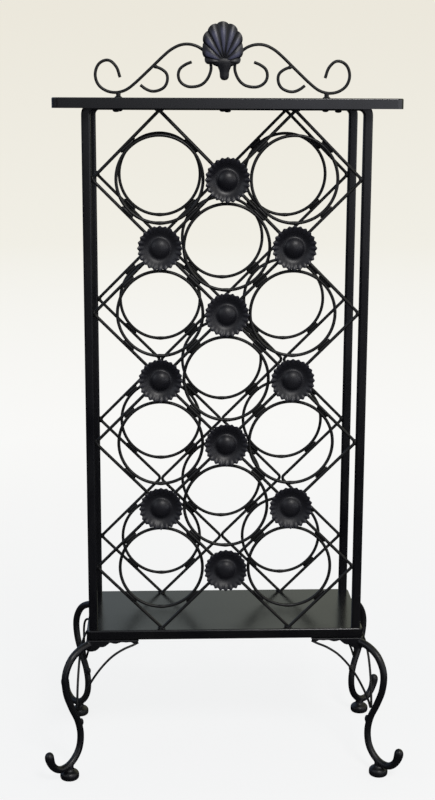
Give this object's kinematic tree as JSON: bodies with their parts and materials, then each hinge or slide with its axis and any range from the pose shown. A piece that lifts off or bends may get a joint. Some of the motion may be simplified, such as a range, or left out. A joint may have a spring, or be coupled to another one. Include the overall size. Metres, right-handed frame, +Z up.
{
  "type": "wine rack",
  "caption": "Free-standing wrought-iron wine rack: a diamond lattice of wire with round bottle rings, a base shelf on scrolled legs, and a top shelf with a scroll and shell crest.",
  "frame": {"origin": "on the floor, under the middle of the rack", "axes": "+X to the right as seen from the decorated front, +Y from the front to the back, +Z up"},
  "size_m": [0.3956, 0.2216, 0.8197],
  "materials": {
    "frame": "semi-gloss black powder coat",
    "shelf": "smooth semi-gloss black powder coat",
    "wire": "semi-gloss black powder coat on wire",
    "cast": "semi-gloss black paint over a slightly uneven casting",
    "ornament": "semi-gloss black paint with a faint blue cast"
  },
  "bodies": {
    "root": {"top_shelf": "shelf", "bottom_shelf": "shelf", "front_frame": "frame", "rear_frame": "frame", "front_zigzag_rod_1": "wire", "front_zigzag_rod_2": "wire", "front_zigzag_rod_3": "wire", "front_zigzag_rod_4": "wire", "front_bottle_ring_1": "wire", "front_bottle_ring_2": "wire", "front_bottle_ring_3": "wire", "front_bottle_ring_4": "wire", "front_bottle_ring_5": "wire", "front_bottle_ring_6": "wire", "front_bottle_ring_7": "wire", "front_bottle_ring_8": "wire", "front_bottle_ring_9": "wire", "front_bottle_ring_10": "wire", "front_bottle_ring_11": "wire", "rear_zigzag_rod_1": "wire", "rear_zigzag_rod_2": "wire", "rear_zigzag_rod_3": "wire", "rear_zigzag_rod_4": "wire", "rear_bottle_ring_1": "wire", "rear_bottle_ring_2": "wire", "rear_bottle_ring_3": "wire", "rear_bottle_ring_4": "wire", "rear_bottle_ring_5": "wire", "rear_bottle_ring_6": "wire", "rear_bottle_ring_7": "wire", "rear_bottle_ring_8": "wire", "rear_bottle_ring_9": "wire", "rear_bottle_ring_10": "wire", "rear_bottle_ring_11": "wire", "rosette_1": "ornament", "rosette_2": "ornament", "rosette_3": "ornament", "rosette_4": "ornament", "rosette_5": "ornament", "rosette_6": "ornament", "rosette_7": "ornament", "rosette_8": "ornament", "rosette_9": "ornament", "rosette_10": "ornament", "leg_front_left": "cast", "brace_front_left": "wire", "leg_front_right": "cast", "brace_front_right": "wire", "leg_rear_left": "cast", "brace_rear_left": "wire", "leg_rear_right": "cast", "brace_rear_right": "wire", "crest_scroll_left": "wire", "crest_small_scroll_left": "wire", "crest_scroll_right": "wire", "crest_small_scroll_right": "wire", "crest_shell": "ornament"}
  },
  "joints": []
}
